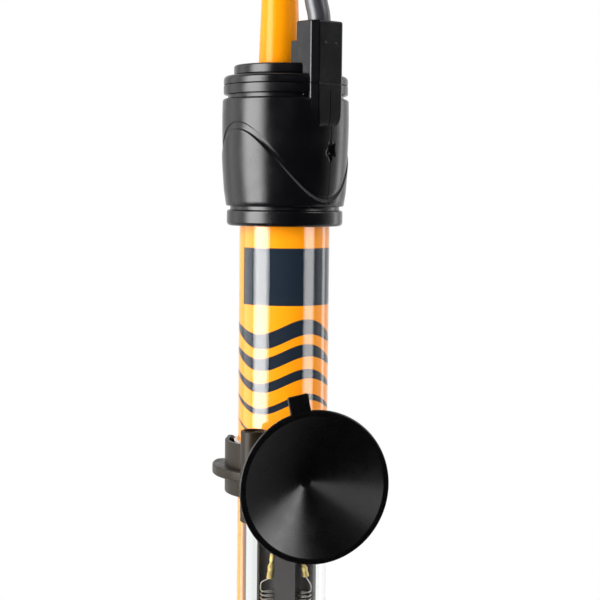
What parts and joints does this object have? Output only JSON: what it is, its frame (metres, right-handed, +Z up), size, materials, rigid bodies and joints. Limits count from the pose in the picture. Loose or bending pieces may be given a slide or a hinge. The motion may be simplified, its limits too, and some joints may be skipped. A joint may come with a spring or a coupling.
{
  "type": "submersible aquarium heater",
  "caption": "Glass-tube aquarium heater with a black head, a long orange temperature knob, a mains lead in a hank, suction cups on clip rings and an orange band inside the glass.",
  "frame": {"origin": "centre of the upper suction cup's rim, in the plane of the aquarium wall that both cups hold to", "axes": "+Z up along the glass tube towards the knob; -Y into the aquarium wall, so the heater stands off towards +Y; +X to the right, seen from the wall"},
  "size_m": [0.0498, 0.1074, 0.3466],
  "materials": {
    "glass": "clear borosilicate glass",
    "film": "printed orange film behind the glass",
    "head_plastic": "moulded black, satin",
    "knob_plastic": "moulded orange, glossy",
    "clip_plastic": "moulded black, satin",
    "cup_rubber": "smooth soft rubber",
    "liner": "pale translucent silicone",
    "lead_rubber": "smooth rubber sheath",
    "plug_plastic": "moulded on, matt",
    "pin_metal": "nickel-plated",
    "seal_rubber": "moulded seal",
    "stopper_rubber": "red silicone",
    "ceramic": "dark unglazed ceramic",
    "mica": "insulating board",
    "pad_silicone": "white silicone",
    "resistance_wire": "drawn nickel-chromium wire",
    "lead_out_wire": "tinned wire",
    "brass": "pressed brass",
    "shaft_steel": "turned steel",
    "bimetal": "rolled bimetal",
    "contact_silver": "silver contact",
    "magnet": "ferrite",
    "frame_plastic": "moulded thermoset",
    "lamp_glass": "neon lamp",
    "resistor_body": "lacquered",
    "capacitor_case": "dipped resin",
    "wire_brown": "wire insulation",
    "wire_blue": "wire insulation"
  },
  "bodies": {
    "heater_body": {"glass_tube": "glass", "colour_film": "film", "head_sleeve": "head_plastic", "head_cap": "head_plastic", "dial_plate": "head_plastic", "tube_stopper": "stopper_rubber", "tube_seals": "seal_rubber", "shaft_seal": "seal_rubber", "live_wire": "wire_brown", "neutral_wire": "wire_blue", "thermostat_frame": "frame_plastic", "fixed_contact": "brass", "snap_magnet": "magnet", "indicator_lamp": "lamp_glass", "lamp_resistor": "resistor_body", "suppressor_capacitor": "capacitor_case", "strip_clamp": "brass", "heat_shields": "mica", "element_core": "ceramic", "left_coil": "resistance_wire", "right_coil": "resistance_wire", "coil_link": "resistance_wire", "feed_wires": "lead_out_wire", "crimp_ferrules": "brass", "core_pad": "pad_silicone", "bottom_cap": "head_plastic", "power_lead": "lead_rubber", "lead_hank": "lead_rubber", "lead_tail": "lead_rubber", "hank_tie": "clip_plastic", "plug_body": "plug_plastic", "plug_pins": "pin_metal"},
    "temperature_knob": {"knob": "knob_plastic", "adjuster_shaft": "shaft_steel", "shaft_clip": "shaft_steel"},
    "setting_nut": {"adjuster_nut": "brass"},
    "contact_arm": {"bimetal_strip": "bimetal", "moving_contact": "contact_silver"},
    "upper_grip": {"upper_liner": "liner"},
    "upper_holder": {"upper_clip": "clip_plastic"},
    "upper_suction_cup": {"upper_cup": "cup_rubber"},
    "lower_grip": {"lower_liner": "liner"},
    "lower_holder": {"lower_clip": "clip_plastic"},
    "lower_suction_cup": {"lower_cup": "cup_rubber"}
  },
  "joints": [
    {"name": "knob_turn", "type": "hinge", "parent": "heater_body", "child": "temperature_knob", "pos_m": [-0.00118, 0.03354, 0.11], "axis": [0, 0, 1], "range_deg": [-150, 150]},
    {"name": "nut_travel", "type": "slide", "parent": "heater_body", "child": "setting_nut", "axis": [0, 0, 1], "range_m": [-0.0004166, 0.0004166]},
    {"name": "contact_swing", "type": "hinge", "parent": "heater_body", "child": "contact_arm", "pos_m": [0.00004, 0.03091, 0.0095], "axis": [-0.9063, -0.4226, 0], "range_deg": [0, 3], "stiffness_Nm_per_rad": 0.05},
    {"name": "upper_slide", "type": "slide", "parent": "heater_body", "child": "upper_grip", "axis": [0, 0, 1], "range_m": [-0.03, 0.05]},
    {"name": "upper_turn", "type": "hinge", "parent": "upper_grip", "child": "upper_holder", "pos_m": [0, 0.031, 0], "axis": [0, 0, 1], "range_deg": [-80, 80]},
    {"name": "upper_cup_turn", "type": "hinge", "parent": "upper_holder", "child": "upper_suction_cup", "pos_m": [0, 0, 0], "axis": [0, 1, 0], "continuous": true},
    {"name": "lower_slide", "type": "slide", "parent": "heater_body", "child": "lower_grip", "axis": [0, 0, 1], "range_m": [-0.006, 0.03]},
    {"name": "lower_turn", "type": "hinge", "parent": "lower_grip", "child": "lower_holder", "pos_m": [0, 0.031, -0.128], "axis": [0, 0, 1], "range_deg": [-80, 80]},
    {"name": "lower_cup_turn", "type": "hinge", "parent": "lower_holder", "child": "lower_suction_cup", "pos_m": [0, 0, -0.128], "axis": [0, 1, 0], "continuous": true}
  ],
  "couplings": [
    {"joint": "knob_turn", "follows": "nut_travel", "rad_per_m": -6283.2}
  ]
}
